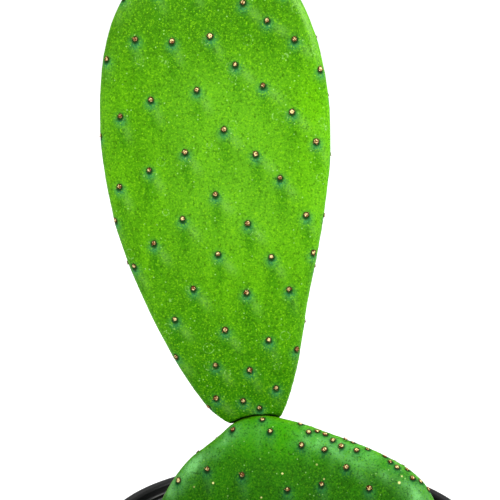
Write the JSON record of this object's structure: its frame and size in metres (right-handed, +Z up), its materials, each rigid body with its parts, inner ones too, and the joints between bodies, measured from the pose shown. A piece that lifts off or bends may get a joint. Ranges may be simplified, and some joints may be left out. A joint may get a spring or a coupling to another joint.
{
  "type": "potted paddle cactus",
  "caption": "Round tapered nursery pot with a broad, half buried cactus pad and a tall egg-shaped pad grown from its top edge.",
  "frame": {"origin": "centre of the pot's foot, on the surface it stands on", "axes": "+Z up along the pot's axis; -Y towards the front, the side that both pads face"},
  "size_m": [0.165, 0.165, 0.3857],
  "materials": {
    "pot_plastic": "black moulded plastic with a dull sheen",
    "potting_mix": "loose bark and peat mix, dark brown",
    "root_bark": "pale tan root bark",
    "lower_pad_skin": "fleshy waxy skin, deep green with a pale bloom along its shoulders",
    "upper_pad_skin": "fleshy waxy skin, bright green, satin"
  },
  "bodies": {
    "root": {"nursery_pot": "pot_plastic", "potting_soil": "potting_mix", "roots": "root_bark", "lower_pad": "lower_pad_skin", "upper_pad": "upper_pad_skin"}
  },
  "joints": []
}
